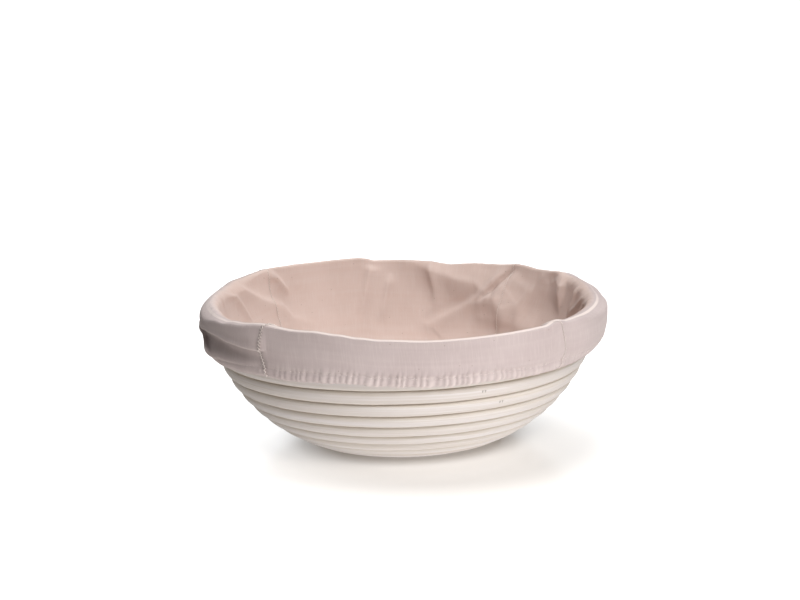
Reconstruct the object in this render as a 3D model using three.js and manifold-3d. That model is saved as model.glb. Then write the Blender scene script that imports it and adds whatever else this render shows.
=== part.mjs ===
// Round proofing basket: rattan cane wound in one rising spiral and stapled turn to turn,
// with a lift-out cotton liner of four gores, turned down over the rim and held by an elastic hem.
// Millimetres, +Z up, origin on the table under the centre of the base, front towards -Y.

import * as THREE from "three";
import { mergeVertices } from "three/addons/utils/BufferGeometryUtils.js";
import Module from "manifold-3d";

const wasm = await Module();
wasm.setup();

// Basket: overall sizes, measured on the cane
const RIM_DIAMETER = 244; // across the outside of the rim turn
const RIM_HEIGHT = 93.5; // table to the top of the rim where the spiral runs out
const BASE_DIAMETER = 98; // flat middle of the base, to the middle of the cane
const FOOT_BEND = 25; // bend radius where the base turns up into the wall
const FOOT_ANGLE = 20; // degrees, slope of the wall just above that bend

// Cane: a flattened eight-sided section
const CANE_WIDTH = 9.4; // along the wall
const CANE_THICKNESS = 7.5; // through the wall
const CANE_FACE = 5; // flat on the inner and outer faces
const CANE_EDGE = 3.4; // flat where one turn lies on the next
const TURN_GAP = 0.3; // between neighbouring turns
const EYE_RADIUS = 3; // hole left in the middle of the base
const TIP_WIDTH = 1.6; // width left at a shaved end
const RIM_END = 247.5; // degrees round from +X where the last turn runs out
const RIM_TAPER = 33.75; // degrees over which the last turn is shaved down
const SCARF_LENGTH = 34; // slanted joint between two lengths of cane
const RIM_CANE_TURNS = 3.625; // turns in each length of cane, from the rim down
const UPPER_CANE_TURNS = 2.9;
const LOWER_CANE_TURNS = 4.85;

// Staples: flat wire, crown let into one turn, legs down into the turn before it
const STAPLE_CROWN = 6; // across both legs, along the cane
const WIRE_WIDTH = 0.9;
const WIRE_THICKNESS = 0.7;
const STAPLE_SINK = 0.3; // crown below the edge of its turn
const STAPLE_BITE = 5.5; // legs inside the turn before
const FIRST_STAPLE = 0.95; // turns back from the rim's end
const WALL_ROUND_TURNS = 0.97; // from one pair of staples to the next, in the wall
const BASE_ROUND_TURNS = 0.85; // the same in the flat of the base
const INNER_STAPLE = 24; // no staple sits nearer to the axis
const STAPLE_CLEARANCE = 0.3;

// Liner: gores, turn-down and hem
const GORES = ["right", "back", "left", "front"];
const GORE_SEAM = 45; // degrees, seam between the right and back gores
const CLOTH = 1; // thickness of the cloth with its seam bulk
const CLOTH_GAP = 0.3; // between the cloth and what it lies on
const SEAM_GAP = 0.3;
const CENTRE_HOLE = 1.5; // where the four points meet, from the axis
const TUCK = 8; // turn-down's reach below the rim on the inside
const TURN_DOWN = 24.2; // lowest top of the rim to the hem's lower fold, along the wall
const HEM_LEAD = 3; // slope from the turn-down out to the casing
const LEAF_EDGE = 0.7; // casing's inner leaf, past the elastic
const LEAF_EASE = 2; // from that edge to the top of the casing
const ELASTIC_WIDTH = 5;
const ELASTIC_THICKNESS = 0.8;

const GORE_STEPS = 8; // straight steps in the width of a gore
const CELL = 1 / (GORE_STEPS * GORES.length); // one straight step, in turns
const RADIANS = Math.PI / 180;

const CANE_COLOUR = 0xe2d8c6;
const COTTON_COLOUR = 0xd0bfae;
const ELASTIC_COLOUR = 0xece8df;
const STEEL_COLOUR = 0xa9a9a4;

// Wall section: flat base, foot bend, then one arc up to the rim, all on the middle of the cane
const halfWidth = CANE_WIDTH / 2;
const halfThickness = CANE_THICKNESS / 2;
const pitch = CANE_WIDTH + TURN_GAP;
const footAngle = FOOT_ANGLE * RADIANS;
const flatLength = BASE_DIAMETER / 2;
const footLength = FOOT_BEND * footAngle;
const wallStartR = flatLength + FOOT_BEND * Math.sin(footAngle);
const wallStartZ = halfThickness + FOOT_BEND * (1 - Math.cos(footAngle));
const wallRun = RIM_DIAMETER / 2 - halfThickness - wallStartR;
const wallRise = RIM_HEIGHT - halfWidth - wallStartZ;
const wallTurn = 2 * (Math.atan2(wallRise, wallRun) - footAngle);
const wallRadius = Math.hypot(wallRun, wallRise) / (2 * Math.sin(wallTurn / 2));
const sectionLength = flatLength + footLength + wallRadius * wallTurn;

// Point of the wall section: s along it from the axis, v out from the middle of the cane
function sectionAt(s, v) {
  let slope = 0;
  let r = s;
  let z = halfThickness;
  if (s > flatLength + footLength) {
    slope = footAngle + (s - flatLength - footLength) / wallRadius;
    r = wallStartR + wallRadius * (Math.sin(slope) - Math.sin(footAngle));
    z = wallStartZ + wallRadius * (Math.cos(footAngle) - Math.cos(slope));
  } else if (s > flatLength) {
    slope = (s - flatLength) / FOOT_BEND;
    r = flatLength + FOOT_BEND * Math.sin(slope);
    z = halfThickness + FOOT_BEND * (1 - Math.cos(slope));
  }
  return { r: r + v * Math.sin(slope), z: z - v * Math.cos(slope) };
}

// The same point at an azimuth in turns, moved round by a distance along its circle
function place(s, v, azimuth, shift = 0) {
  const { r, z } = sectionAt(s, v);
  const angle = azimuth * 2 * Math.PI + shift / r;
  return new THREE.Vector3(r * Math.cos(angle), r * Math.sin(angle), z);
}

// Closed solid over a row of matching outlines
function loft(rings, ringIsClosed = false) {
  const size = rings[0].length;
  const points = rings.flat();
  const index = [];
  const steps = ringIsClosed ? rings.length : rings.length - 1;
  for (let i = 0; i < steps; i += 1) {
    const here = i * size;
    const next = ((i + 1) % rings.length) * size;
    for (let j = 0; j < size; j += 1) {
      const k = (j + 1) % size;
      index.push(here + j, next + j, next + k, here + j, next + k, here + k);
    }
  }
  if (!ringIsClosed) {
    index.push(...endCap(points.slice(0, size), 0, 1));
    index.push(...endCap(points.slice(-size), points.length - size, -1));
  }
  const geometry = new THREE.BufferGeometry().setFromPoints(points);
  geometry.setIndex(signedVolume(points, index) > 0 ? index : index.reverse());
  return geometry;
}

// Triangles that close an outline, turned the way its points run or against it
function endCap(ring, first, way) {
  const normal = new THREE.Vector3();
  ring.forEach((p, i) => normal.add(p.clone().cross(ring[(i + 1) % ring.length])));
  const across = ring[1].clone().sub(ring[0]).normalize();
  const up = normal.normalize().cross(across);
  const flat = ring.map((p) => new THREE.Vector2(p.dot(across), p.dot(up)));
  return THREE.ShapeUtils.triangulateShape(flat, []).flatMap(([a, b, c]) => {
    const area = THREE.ShapeUtils.area([flat[a], flat[b], flat[c]]);
    return (area * way > 0 ? [a, b, c] : [a, c, b]).map((n) => first + n);
  });
}

function signedVolume(points, index) {
  let total = 0;
  for (let i = 0; i < index.length; i += 3) {
    const [a, b, c] = index.slice(i, i + 3).map((n) => points[n]);
    total += a.dot(b.clone().cross(c));
  }
  return total / 6;
}

function toSolid(geometry) {
  const bare = geometry.clone();
  bare.deleteAttribute("normal");
  bare.deleteAttribute("uv");
  const merged = mergeVertices(bare);
  const vertProperties = new Float32Array(merged.attributes.position.array);
  const triVerts = new Uint32Array(merged.index.array);
  return new wasm.Manifold(new wasm.Mesh({ numProp: 3, vertProperties, triVerts }));
}

function fromSolid(solid) {
  const { vertProperties, triVerts } = solid.getMesh();
  const geometry = new THREE.BufferGeometry();
  geometry.setAttribute("position", new THREE.BufferAttribute(vertProperties, 3));
  geometry.setIndex(new THREE.BufferAttribute(triVerts, 1));
  return geometry;
}

// Spiral: turns are counted back from the rim's end, where the middle of the cane is highest
const rimEnd = RIM_END / 360;
const rimTaper = RIM_TAPER / 360;
const spiralStart = sectionLength - (EYE_RADIUS + TIP_WIDTH - halfWidth);
const totalTurns = spiralStart / pitch;

const rimSplice = RIM_CANE_TURNS;
const upperSplice = rimSplice + UPPER_CANE_TURNS;
const lowerSplice = upperSplice + LOWER_CANE_TURNS;
const splices = [rimSplice, upperSplice, lowerSplice];

const alongAt = (turns) => sectionLength - pitch * turns;
const azimuthAt = (turns) => rimEnd - turns;

// Upper edge of the cane over its middle: full width, but shaved down at the rim's end
function upperEdge(turns) {
  const shaved = Math.max(0, 1 - turns / rimTaper);
  return halfWidth - shaved * (CANE_WIDTH - TIP_WIDTH);
}

// Lower edge: full width, but shaved to a point round the eye of the base
function lowerEdge(turns) {
  return Math.max(-halfWidth, EYE_RADIUS - alongAt(turns));
}

// Slanted joint at a splice: its half length in turns, and the cut's height over the middle
function scarfHalf(splice) {
  return SCARF_LENGTH / (4 * Math.PI * sectionAt(alongAt(splice), 0).r);
}

function scarfCut(splice, turns) {
  return (halfWidth * (turns - splice)) / scarfHalf(splice);
}

// Where a length of cane ends inside a splice, on the rim side or on the base side of the cut
function scarfTip(splice, side) {
  const reach = halfWidth - TIP_WIDTH - TURN_GAP / 2;
  return splice + (side * scarfHalf(splice) * reach) / halfWidth;
}

// Eight-sided outline of the cane between two edges, thinner where it is shaved narrow
const caneCorner = (CANE_WIDTH - CANE_FACE) / 2;
const caneEdge = CANE_EDGE / 2;

function caneOutline(low, high) {
  const share = (high - low) / CANE_WIDTH;
  const corner = caneCorner * share;
  const depth = THREE.MathUtils.lerp(caneEdge, halfThickness, share);
  return [
    [high, caneEdge],
    [high - corner, depth],
    [low + corner, depth],
    [low, caneEdge],
    [low, -caneEdge],
    [low + corner, -depth],
    [high - corner, -depth],
    [high, -caneEdge],
  ];
}

// Straight steps of cane and cloth meet at the same azimuths, counted from the first gore seam
const firstSeam = GORE_SEAM / 360;
const stepsAt = (turns) => (azimuthAt(turns) - firstSeam) / CELL;
const turnsAtStep = (step) => rimEnd - firstSeam - step * CELL;

// Point of the cane on its straight steps, u up from the middle of its turn and v out from it
function canePoint(turns, u, v) {
  const step = stepsAt(turns);
  const ends = [Math.floor(step), Math.floor(step) + 1].map((n) => {
    const at = turnsAtStep(n);
    return place(alongAt(at) + u, v, azimuthAt(at));
  });
  return ends[0].lerp(ends[1], step - Math.floor(step));
}

// Ends of the straight steps between two places on the spiral, with the places themselves
function spiralSteps(from, to) {
  const steps = [from];
  const closest = CELL / 8;
  for (let n = Math.floor(stepsAt(from)); n > stepsAt(to); n -= 1) {
    const turns = turnsAtStep(n);
    if (turns > from + closest && turns < to - closest) {
      steps.push(turns);
    }
  }
  return [...steps, to];
}

// One length of cane, from the splice above it, if any, to the splice below it, if any
function caneLength(above, below) {
  const from = above === null ? 0 : scarfTip(above, -1);
  const to = below === null ? totalTurns : scarfTip(below, 1);
  const rings = spiralSteps(from, to).map((turns) => {
    let low = lowerEdge(turns);
    let high = upperEdge(turns);
    if (above !== null) {
      high = Math.min(high, scarfCut(above, turns) - TURN_GAP / 2);
    }
    if (below !== null) {
      low = Math.max(low, scarfCut(below, turns) + TURN_GAP / 2);
    }
    return caneOutline(low, high).map(([u, v]) => canePoint(turns, u, v));
  });
  return loft(rings);
}

const stapleLength = CANE_WIDTH - STAPLE_SINK + TURN_GAP + STAPLE_BITE;

// A staple's place: crown at the edge of its turn, legs aimed at the middle of the turn before
function staplePlace(turns) {
  const crown = halfWidth - STAPLE_SINK;
  const middle = canePoint(turns, crown, 0);
  const ahead = canePoint(turns - CELL / 4, crown, 0);
  const along = ahead.sub(middle).normalize();
  const up = middle.clone().sub(canePoint(turns, crown - stapleLength, 0));
  up.addScaledVector(along, -up.dot(along)).normalize();
  return new THREE.Matrix4()
    .makeBasis(along, up, along.clone().cross(up))
    .setPosition(middle);
}

// Bent wire, or the slot that it is driven into when there is clearance and a way in
function stapleShape(clearance, wayIn) {
  const outside = STAPLE_CROWN / 2 + clearance;
  const inside = STAPLE_CROWN / 2 - WIRE_WIDTH - clearance;
  const foot = -stapleLength - clearance;
  const under = -WIRE_WIDTH - clearance;
  const outline = new THREE.Shape([
    new THREE.Vector2(-outside, foot),
    new THREE.Vector2(-inside, foot),
    new THREE.Vector2(-inside, under),
    new THREE.Vector2(inside, under),
    new THREE.Vector2(inside, foot),
    new THREE.Vector2(outside, foot),
    new THREE.Vector2(outside, wayIn),
    new THREE.Vector2(-outside, wayIn),
  ]);
  const depth = WIRE_THICKNESS + 2 * clearance;
  const geometry = new THREE.ExtrudeGeometry(outline, { depth, bevelEnabled: false });
  return geometry.translate(0, 0, -depth / 2);
}

// A staple keeps clear of the splices in its own turn and in the turn before
function clearOfSplices(turns) {
  return splices.every((splice) => {
    const width = STAPLE_CROWN / (2 * Math.PI * sectionAt(alongAt(splice), 0).r);
    const away = Math.min(Math.abs(turns - splice), Math.abs(turns + 1 - splice));
    return away > scarfHalf(splice) + width;
  });
}

// Staples sit in pairs half a turn apart, each in the middle of a straight step
function staplePlaces() {
  const [wallRound, baseRound] = [WALL_ROUND_TURNS, BASE_ROUND_TURNS].map(
    (turns) => Math.round(turns / CELL) * CELL,
  );
  const places = [];
  let turns = turnsAtStep(Math.floor(stepsAt(FIRST_STAPLE)) + 0.5);
  while (alongAt(turns + 0.5) > INNER_STAPLE) {
    places.push(turns, turns + 0.5);
    turns += alongAt(turns + 0.5) > flatLength ? wallRound : baseRound;
  }
  return places.filter(clearOfSplices).map(staplePlace);
}

// Top of the rim cane at an azimuth in turns, as a distance along the section
function rimTop(azimuth) {
  const back = (((rimEnd - azimuth) % 1) + 1) % 1;
  return alongAt(back) + upperEdge(back);
}

// The cloth bridges the step where the rim runs out: highest rim within one straight step
function clothTop(azimuth) {
  const reach = [-1, -0.75, -0.5, -0.25, 0, 0.25, 0.5, 0.75, 1];
  return Math.max(...reach.map((n) => rimTop(azimuth + n * CELL)));
}

// Cloth lies along the cane at this distance from it, inside and outside the bowl
const clothOff = CLOTH_GAP + CLOTH / 2;
const clothInside = -halfThickness - clothOff;
const clothOutside = halfThickness + clothOff;

// Hem, from its fold up: elastic, edge of the inner leaf, top of the casing
const casingDepth = ELASTIC_THICKNESS + 2 * CLOTH_GAP;
const hemOutside = clothOutside + casingDepth + CLOTH;
const hemFold = alongAt(1) + halfWidth - TURN_DOWN;
const elasticLow = hemFold + CLOTH + CLOTH_GAP;
const elasticHigh = elasticLow + ELASTIC_WIDTH;
const leafTop = elasticHigh + LEAF_EDGE;
const hemTop = leafTop + LEAF_EASE;

// Azimuths of one gore's steps in turns, each with its side: 1 and -1 at the seams
function goreSteps(gore) {
  const first = firstSeam + (gore - 1) / GORES.length;
  return Array.from({ length: GORE_STEPS + 1 }, (_, i) => ({
    azimuth: first + i * CELL,
    side: i === 0 ? 1 : i === GORE_STEPS ? -1 : 0,
  }));
}

// A path moved sideways by a distance, with mitred corners
function offsetPath(path, distance) {
  const normals = path.slice(1).map(([s, v], i) => {
    const along = new THREE.Vector2(s - path[i][0], v - path[i][1]).normalize();
    return new THREE.Vector2(-along.y, along.x);
  });
  return path.map(([s, v], i) => {
    const before = normals[Math.max(i - 1, 0)];
    const after = normals[Math.min(i, normals.length - 1)];
    const mitre = before.clone().add(after);
    mitre.multiplyScalar((2 * distance) / mitre.lengthSq());
    return [s + mitre.x, v + mitre.y];
  });
}

// Outline of a strip of cloth along a path of its middle
function clothOutline(path) {
  return [...offsetPath(path, CLOTH / 2), ...offsetPath(path, -CLOTH / 2).reverse()];
}

// Path of the cloth inside the bowl, from the centre to just under the turn-down
function bowlPath(top) {
  const flatEnd = flatLength;
  const footEnd = flatLength + footLength;
  const steps = 6;
  const path = [CENTRE_HOLE, flatEnd, (flatEnd + footEnd) / 2, footEnd];
  for (let i = 1; i <= steps; i += 1) {
    path.push(footEnd + ((top - TUCK - SEAM_GAP - footEnd) * i) / steps);
  }
  return path.map((s) => [s, clothInside]);
}

// Path of the turn-down: up the inside, over the rim, down the outside and round the hem
function turnDownPath(top) {
  const rim = [
    [top - TUCK, -halfThickness],
    [top - caneCorner, -halfThickness],
    [top, -caneEdge],
    [top, caneEdge],
    [top - caneCorner, halfThickness],
    [hemTop + HEM_LEAD, halfThickness],
  ];
  const over = offsetPath(rim, -clothOff);
  const [last, bottom] = over.slice(-2);
  const side = [1 / 3, 2 / 3].map((share) => [
    THREE.MathUtils.lerp(last[0], bottom[0], share),
    clothOutside,
  ]);
  return [
    ...over.slice(0, -1),
    ...side,
    bottom,
    [hemTop, hemOutside],
    [hemFold + CLOTH / 2, hemOutside],
    [hemFold + CLOTH / 2, clothOutside],
    [leafTop, clothOutside],
  ];
}

function gorePiece(gore, pathAt) {
  const rings = goreSteps(gore).map(({ azimuth, side }) => {
    const outline = clothOutline(pathAt(clothTop(azimuth)));
    return outline.map(([s, v]) => place(s, v, azimuth, (side * SEAM_GAP) / 2));
  });
  return loft(rings);
}

// Elastic ring lying free in the hem's casing
function elasticRing() {
  const near = clothOutside + CLOTH / 2 + CLOTH_GAP;
  const far = near + ELASTIC_THICKNESS;
  const outline = [
    [elasticLow, near],
    [elasticHigh, near],
    [elasticHigh, far],
    [elasticLow, far],
  ];
  const rings = Array.from({ length: GORE_STEPS * GORES.length }, (_, i) =>
    outline.map(([s, v]) => place(s, v, firstSeam + i * CELL)),
  );
  return loft(rings, true);
}

const basket = new THREE.Group();
const liner = new THREE.Group();
const model = new THREE.Group();
model.add(basket, liner);

function addPiece(group, name, geometry, color, roughness, metalness) {
  const material = new THREE.MeshStandardMaterial({ color, roughness, metalness });
  const mesh = new THREE.Mesh(geometry, material);
  mesh.name = name;
  group.add(mesh);
}

// Basket: four lengths of cane, with a slot for each staple, and the staples
const places = staplePlaces();
const slots = places.map((at) =>
  toSolid(stapleShape(STAPLE_CLEARANCE, STAPLE_SINK + TURN_GAP / 2).applyMatrix4(at)),
);

function addCane(name, above, below) {
  const whole = toSolid(caneLength(above, below));
  const slotted = slots.reduce((cane, slot) => cane.subtract(slot), whole);
  addPiece(basket, name, fromSolid(slotted), CANE_COLOUR, 0.6, 0);
}

addCane("base_cane", lowerSplice, null);
addCane("lower_wall_cane", upperSplice, lowerSplice);
addCane("upper_wall_cane", rimSplice, upperSplice);
addCane("rim_cane", null, rimSplice);

places.forEach((at, i) => {
  const name = `staple_${String(i + 1).padStart(2, "0")}`;
  addPiece(basket, name, stapleShape(0, 0).applyMatrix4(at), STEEL_COLOUR, 0.35, 1);
});

// Liner: each gore's bowl part and its turn-down, and the elastic in the hem
GORES.forEach((side, gore) => {
  addPiece(liner, `${side}_gore_bowl`, gorePiece(gore, bowlPath), COTTON_COLOUR, 0.9, 0);
  addPiece(liner, `${side}_gore_turn_down`, gorePiece(gore, turnDownPath), COTTON_COLOUR, 0.9, 0);
});
addPiece(liner, "hem_elastic", elasticRing(), ELASTIC_COLOUR, 0.7, 0);

export default model;
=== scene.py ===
"""Round proofing basket: bleached cane wound in a rising spiral, with a cotton liner turned down
over its rim. Metres, +Z up, front towards -Y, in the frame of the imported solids."""

import math

import bpy
import numpy as np
from mathutils import Matrix, Vector


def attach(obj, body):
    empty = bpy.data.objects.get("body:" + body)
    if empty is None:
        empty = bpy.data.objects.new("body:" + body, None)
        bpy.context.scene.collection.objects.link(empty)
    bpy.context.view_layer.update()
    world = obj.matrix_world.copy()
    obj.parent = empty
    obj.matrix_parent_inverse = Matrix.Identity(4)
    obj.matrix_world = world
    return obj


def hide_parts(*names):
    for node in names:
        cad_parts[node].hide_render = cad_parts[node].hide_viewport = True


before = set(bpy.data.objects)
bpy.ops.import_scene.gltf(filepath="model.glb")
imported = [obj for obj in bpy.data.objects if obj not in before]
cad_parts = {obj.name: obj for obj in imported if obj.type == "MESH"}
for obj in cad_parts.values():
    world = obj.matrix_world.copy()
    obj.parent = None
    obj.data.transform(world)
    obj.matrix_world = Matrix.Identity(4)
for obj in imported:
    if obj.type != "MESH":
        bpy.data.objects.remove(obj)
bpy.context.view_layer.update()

MM = 0.001


# Cane of the basket: four lengths of peeled, bleached rattan, steamed and wound in one rising
# spiral from the eye of the base to the rim. Each length meets the next on a long slant, and the
# last turn is shaved down over its final hand's width so that the rim runs out level.
RIM_DIAMETER = 244 * MM
RIM_HEIGHT = 93.5 * MM
FLAT_LENGTH = 49 * MM
FOOT_BEND = 25 * MM
FOOT_ANGLE = math.radians(20)
CANE_WIDTH = 9.4 * MM
CANE_THICKNESS = 7.5 * MM
TURN_GAP = 0.3 * MM
EYE_RADIUS = 3 * MM
TIP_WIDTH = 1.6 * MM
TIP_THICKNESS = 3.4 * MM
SCARF_LENGTH = 34 * MM
RIM_END = 247.5 / 360
RIM_TAPER = 130 / 360
RIM_DIP = 3.2 * MM
DIP_TURN, DIP_SPREAD = 0.481, 0.032
SPLICES = (3.625, 6.525, 11.375)
CANE_ROUNDING = 0.8
CANE_WOBBLE = 0.22 * MM
WOBBLES_IN_A_TURN = 23
# Gap left between the swelled turns, and how finely they are meshed
SEEN_GAP = 0.06 * MM
STATIONS_IN_A_TURN = 110
SIDES_OF_CANE = 28
CRISP_ANGLE = 0.9
WELD = 0.005 * MM

half_width = CANE_WIDTH / 2
half_thickness = CANE_THICKNESS / 2
pitch = CANE_WIDTH + TURN_GAP
foot_length = FOOT_BEND * FOOT_ANGLE
wall_start_r = FLAT_LENGTH + FOOT_BEND * math.sin(FOOT_ANGLE)
wall_start_z = half_thickness + FOOT_BEND * (1 - math.cos(FOOT_ANGLE))
wall_run = RIM_DIAMETER / 2 - half_thickness - wall_start_r
wall_rise = RIM_HEIGHT - half_width - wall_start_z
wall_turn = 2 * (math.atan2(wall_rise, wall_run) - FOOT_ANGLE)
wall_radius = math.hypot(wall_run, wall_rise) / (2 * math.sin(wall_turn / 2))
section_length = FLAT_LENGTH + foot_length + wall_radius * wall_turn
total_turns = (section_length - EYE_RADIUS - TIP_WIDTH + half_width) / pitch


class Wire:
    """A socket of a node tree. Sums and products of sockets add their Math nodes."""

    def __init__(self, tree, socket=None):
        self.tree = tree
        self.socket = socket

    def node(self, kind, settings=None, inputs=None, out=0):
        """Any node: its settings first, then the values or links of its sockets."""
        made = self.tree.nodes.new(kind)
        for name, value in (settings or {}).items():
            setattr(made, name, value)
        for name, value in (inputs or {}).items():
            if isinstance(value, Wire):
                self.tree.links.new(value.socket, made.inputs[name])
            else:
                made.inputs[name].default_value = value
        return Wire(self.tree, made.outputs[out])

    def math(self, operation, *others):
        values = dict(enumerate((self, *others)))
        return self.node("ShaderNodeMath", {"operation": operation}, values)

    def __add__(self, other):
        return self.math("ADD", other)

    __radd__ = __add__

    def __sub__(self, other):
        return self.math("SUBTRACT", other)

    def __rsub__(self, other):
        return self.node("ShaderNodeMath", {"operation": "SUBTRACT"}, {0: other, 1: self})

    def __mul__(self, other):
        return self.math("MULTIPLY", other)

    __rmul__ = __mul__

    def __truediv__(self, other):
        return self.math("DIVIDE", other)

    def __pow__(self, other):
        return self.math("POWER", other)

    def between(self, low, high):
        """0 below low, 1 above high, smooth on the way."""
        settings = {"interpolation_type": "SMOOTHSTEP"}
        values = {"Value": self, "From Min": low, "From Max": high}
        return self.node("ShaderNodeMapRange", settings, values)

    def stretched(self, x, y, z):
        """A vector with each of its axes scaled."""
        settings = {"operation": "MULTIPLY"}
        return self.node("ShaderNodeVectorMath", settings, {0: self, 1: (x, y, z)})

    def part(self, axis):
        """One of a vector's three numbers."""
        return self.node("ShaderNodeSeparateXYZ", None, {0: self}, out=axis)

    def noise(self, detail):
        values = {"Vector": self, "Scale": 1.0, "Detail": detail}
        return self.node("ShaderNodeTexNoise", None, values)

    def blended(self, first, second):
        """Colour between two, by this value."""
        settings = {"data_type": "RGBA"}
        return self.node("ShaderNodeMix", settings, {0: self, 6: first, 7: second}, out=2)

    def bumped(self, strength, depth):
        """Normals that tilt as if this value were a height."""
        values = {"Strength": strength, "Distance": depth, "Height": self}
        return self.node("ShaderNodeBump", None, values)


def new_material(name):
    """A plain surface: the material, its tree as a wire and its shader node."""
    material = bpy.data.materials.new(name)
    material.use_nodes = True
    shader = material.node_tree.nodes["Principled BSDF"]
    return material, Wire(material.node_tree), shader


def plug(shader, **links):
    """Sets the sockets of a shader, written with _ for a space, to a wire or a plain value."""
    for name, value in links.items():
        socket = shader.inputs[name.replace("_", " ")]
        if isinstance(value, Wire):
            value.tree.links.new(value.socket, socket)
        else:
            socket.default_value = value


def new_tree(name, inputs):
    """A Geometry Nodes tree with named inputs, and a wire for each of them."""
    tree = bpy.data.node_groups.new(name, "GeometryNodeTree")
    tree.interface.new_socket("Geometry", in_out="INPUT", socket_type="NodeSocketGeometry")
    tree.interface.new_socket("Geometry", in_out="OUTPUT", socket_type="NodeSocketGeometry")
    for label, kind in inputs.items():
        tree.interface.new_socket(label, in_out="INPUT", socket_type="NodeSocket" + kind)
    start = tree.nodes.new("NodeGroupInput")
    return tree, {socket.name: Wire(tree, socket) for socket in start.outputs if socket.name}


def end_tree(geometry, material):
    """Closes a tree with its instances made real and its surface set."""
    real = geometry.node("GeometryNodeRealizeInstances", None, {"Geometry": geometry})
    faced = real.node("GeometryNodeSetMaterial", None, {"Geometry": real, "Material": material})
    finish = faced.tree.nodes.new("NodeGroupOutput")
    faced.tree.links.new(faced.socket, finish.inputs["Geometry"])


def placed(name, data):
    """A new object in the scene, at the origin."""
    made = bpy.data.objects.new(name, data)
    bpy.context.scene.collection.objects.link(made)
    return made


def grown(name, tree, sizes, start=None):
    """Runs a tree with its sizes and keeps the outcome as a plain mesh at the origin."""
    piece = placed(name, start or bpy.data.meshes.new(name + "_start"))
    modifier = piece.modifiers.new("grow", "NODES")
    modifier.node_group = tree
    for item in tree.interface.items_tree:
        if item.item_type == "SOCKET" and item.in_out == "INPUT" and item.name in sizes:
            modifier[item.identifier] = sizes[item.name]
    graph = bpy.context.evaluated_depsgraph_get()
    mesh = bpy.data.meshes.new_from_object(piece.evaluated_get(graph))
    piece.modifiers.remove(modifier)
    piece.data = mesh
    mesh.name = name
    return piece


def cane_material():
    """Peeled cane: cream, with fibres along its length, dust and painted shade in the grooves
    between turns.
    """
    material, nodes, shader = new_material("bleached_cane")
    run = nodes.node("ShaderNodeAttribute", {"attribute_name": "cane_run"}, out="Vector")
    fibre = run.stretched(30, 1000, 1000).noise(3)
    fine_fibre = run.stretched(90, 3400, 3400).noise(2)
    stretch = run.stretched(5, 40, 40).noise(2)
    across = run.part("Y").math("ABSOLUTE")
    # Dust and painted shade: darker brown towards the grooves between turns
    groove_dust_and_shade = across.between(3.4 * MM, 4.85 * MM) ** 2.0
    silver = run.stretched(17, 760, 760).noise(2)
    pale = stretch.between(0.3, 0.7).blended((0.550, 0.500, 0.470, 1), (0.596, 0.556, 0.544, 1))
    edged = (across.between(1.4 * MM, 4.2 * MM) * 0.6).blended(pale, (0.570, 0.507, 0.435, 1))
    silvered = (silver.between(0.52, 0.7) * 0.55).blended(edged, (0.665, 0.637, 0.636, 1))
    streaked = (fibre.between(0.5, 0.72) * 0.55).blended(silvered, (0.48, 0.413, 0.345, 1))
    flecked = (fine_fibre.between(0.6, 0.75) * 0.3).blended(streaked, (0.50, 0.41, 0.30, 1))
    dusted_and_shaded = (groove_dust_and_shade * 0.45).blended(flecked, (0.45, 0.36, 0.27, 1))
    bump = (fibre * 0.6 + fine_fibre * 0.4).bumped(0.35, 0.4 * MM)
    plug(shader, Base_Color=dusted_and_shaded, Roughness=0.46 + fibre * 0.2, Normal=bump)
    return material


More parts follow.
